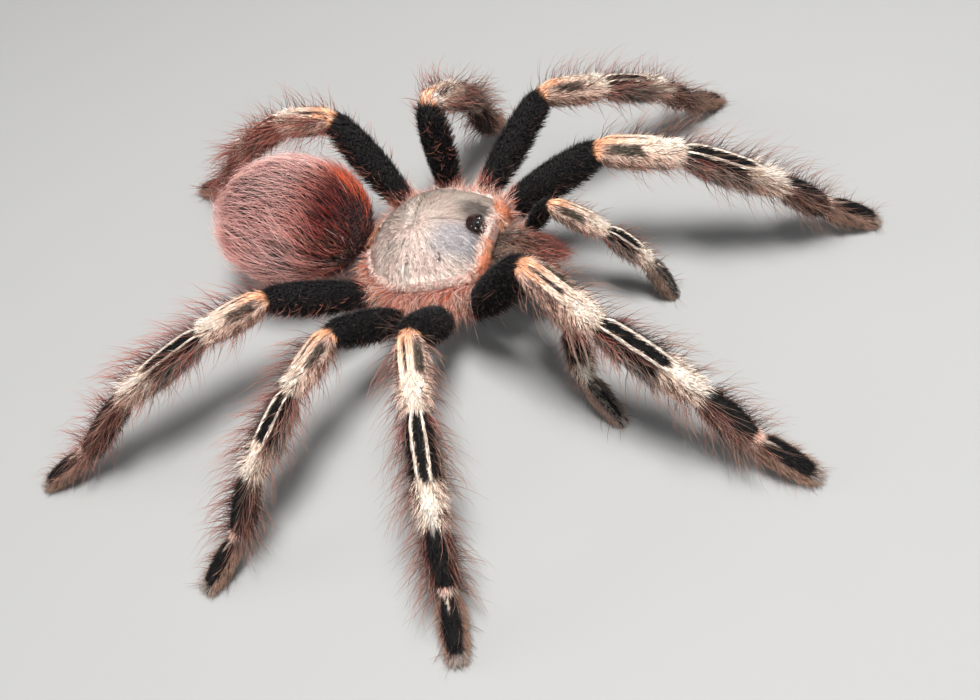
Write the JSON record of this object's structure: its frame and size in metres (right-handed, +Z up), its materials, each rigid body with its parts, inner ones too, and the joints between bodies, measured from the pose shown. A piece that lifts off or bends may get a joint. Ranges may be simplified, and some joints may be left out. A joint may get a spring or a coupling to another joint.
{
  "type": "tarantula",
  "caption": "Life-size still model of a standing tarantula with black legs banded in cream, a pale carapace and a red-haired abdomen.",
  "frame": {"origin": "on the floor, under the middle of the animal's outline seen from above", "axes": "-Y is forward, towards the head; +X is the animal's left side; +Z is up"},
  "size_m": [0.1106, 0.1228, 0.0315],
  "materials": {
    "carapace": "short flat silver-cream hair over a horny shield",
    "eyes": "glossy dark eyes on a dark mound",
    "abdomen": "black velvet with long brick-red hairs",
    "underside": "dark brown hair",
    "chelicera": "brown-grey hair with maroon bristles",
    "fang": "smooth black horn",
    "femur": "black velvet hair",
    "patella": "cream hair with dark stripes",
    "tibia": "black hair with cream stripes and a cream end",
    "metatarsus": "dark grey hair with a pale ring",
    "tarsus": "dark grey hair and a pale tip"
  },
  "bodies": {
    "root": {"abdomen": "abdomen", "carapace": "carapace", "chelicera_left": "chelicera", "chelicera_right": "chelicera", "eye_tubercle": "eyes", "fang_left": "fang", "fang_right": "fang", "leg_left_1_femur": "femur", "leg_left_1_metatarsus": "metatarsus", "leg_left_1_patella": "patella", "leg_left_1_tarsus": "tarsus", "leg_left_1_tibia": "tibia", "leg_left_2_femur": "femur", "leg_left_2_metatarsus": "metatarsus", "leg_left_2_patella": "patella", "leg_left_2_tarsus": "tarsus", "leg_left_2_tibia": "tibia", "leg_left_3_femur": "femur", "leg_left_3_metatarsus": "metatarsus", "leg_left_3_patella": "patella", "leg_left_3_tarsus": "tarsus", "leg_left_3_tibia": "tibia", "leg_left_4_femur": "femur", "leg_left_4_metatarsus": "metatarsus", "leg_left_4_patella": "patella", "leg_left_4_tarsus": "tarsus", "leg_left_4_tibia": "tibia", "leg_right_1_femur": "femur", "leg_right_1_metatarsus": "metatarsus", "leg_right_1_patella": "patella", "leg_right_1_tarsus": "tarsus", "leg_right_1_tibia": "tibia", "leg_right_2_femur": "femur", "leg_right_2_metatarsus": "metatarsus", "leg_right_2_patella": "patella", "leg_right_2_tarsus": "tarsus", "leg_right_2_tibia": "tibia", "leg_right_3_femur": "femur", "leg_right_3_metatarsus": "metatarsus", "leg_right_3_patella": "patella", "leg_right_3_tarsus": "tarsus", "leg_right_3_tibia": "tibia", "leg_right_4_femur": "femur", "leg_right_4_metatarsus": "metatarsus", "leg_right_4_patella": "patella", "leg_right_4_tarsus": "tarsus", "leg_right_4_tibia": "tibia", "palp_left_femur": "femur", "palp_left_patella": "patella", "palp_left_tarsus": "tarsus", "palp_left_tibia": "tibia", "palp_right_femur": "femur", "palp_right_patella": "patella", "palp_right_tarsus": "tarsus", "palp_right_tibia": "tibia", "spinneret_left": "abdomen", "spinneret_right": "abdomen", "sternum_and_coxae": "underside"}
  },
  "joints": []
}
